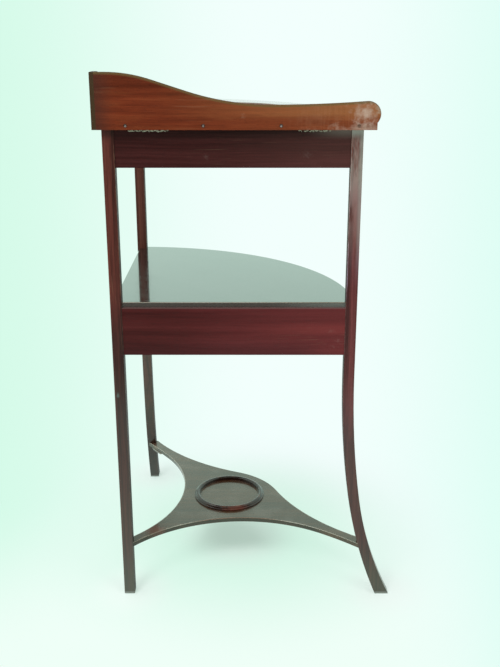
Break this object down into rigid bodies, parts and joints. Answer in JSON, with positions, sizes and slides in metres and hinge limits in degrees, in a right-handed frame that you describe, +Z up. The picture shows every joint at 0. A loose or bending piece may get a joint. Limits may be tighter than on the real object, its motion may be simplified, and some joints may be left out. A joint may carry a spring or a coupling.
{
  "type": "corner washstand",
  "caption": "Quarter-round mahogany corner washstand with splash boards, a basin deck, a shelf over a bow-fronted drawer, swept front legs and a stretcher with a jug ring.",
  "frame": {"origin": "axis of the corner post, on the floor", "axes": "+X along one wall and +Y along the other, from the corner post to the two front legs; +Z up; the drawer opens along the diagonal between +X and +Y"},
  "size_m": [0.5118, 0.5118, 0.9525],
  "materials": {
    "mahogany": "polished",
    "oak_lining": "bare",
    "brass": "aged",
    "iron": "worn"
  },
  "bodies": {
    "stand": {"corner_post": "mahogany", "front_leg_left": "mahogany", "front_leg_right": "mahogany", "deck": "mahogany", "splash_board_left": "mahogany", "splash_board_right": "mahogany", "upper_rail_left": "mahogany", "upper_rail_right": "mahogany", "upper_rail_front": "mahogany", "shelf": "mahogany", "lower_rail_left": "mahogany", "lower_rail_right": "mahogany", "front_top_rail": "mahogany", "front_bottom_rail": "mahogany", "drawer_divider_left": "mahogany", "drawer_divider_right": "mahogany", "false_front_left": "mahogany", "false_front_right": "mahogany", "false_front_bead_left": "mahogany", "false_front_bead_right": "mahogany", "stretcher": "mahogany", "stretcher_ring": "mahogany", "deck_glue_blocks": "oak_lining", "shelf_glue_blocks": "oak_lining", "drawer_runner_left": "oak_lining", "drawer_runner_right": "oak_lining", "drawer_guide_left": "oak_lining", "drawer_guide_right": "oak_lining", "drawer_kicker_left": "oak_lining", "drawer_kicker_right": "oak_lining", "drawer_stops": "oak_lining", "stretcher_dowels": "oak_lining", "false_front_knobs": "brass", "false_front_knob_nuts": "brass", "splash_screws": "iron"},
    "drawer": {"drawer_front": "mahogany", "drawer_cock_bead": "mahogany", "drawer_side_left": "oak_lining", "drawer_side_right": "oak_lining", "drawer_back": "oak_lining", "drawer_bottom": "oak_lining", "drawer_knob": "brass", "drawer_knob_nut": "brass"}
  },
  "joints": [
    {"name": "drawer_slide", "type": "slide", "parent": "stand", "child": "drawer", "axis": [0.7071, 0.7071, 0], "range_m": [0, 0.19]}
  ]
}
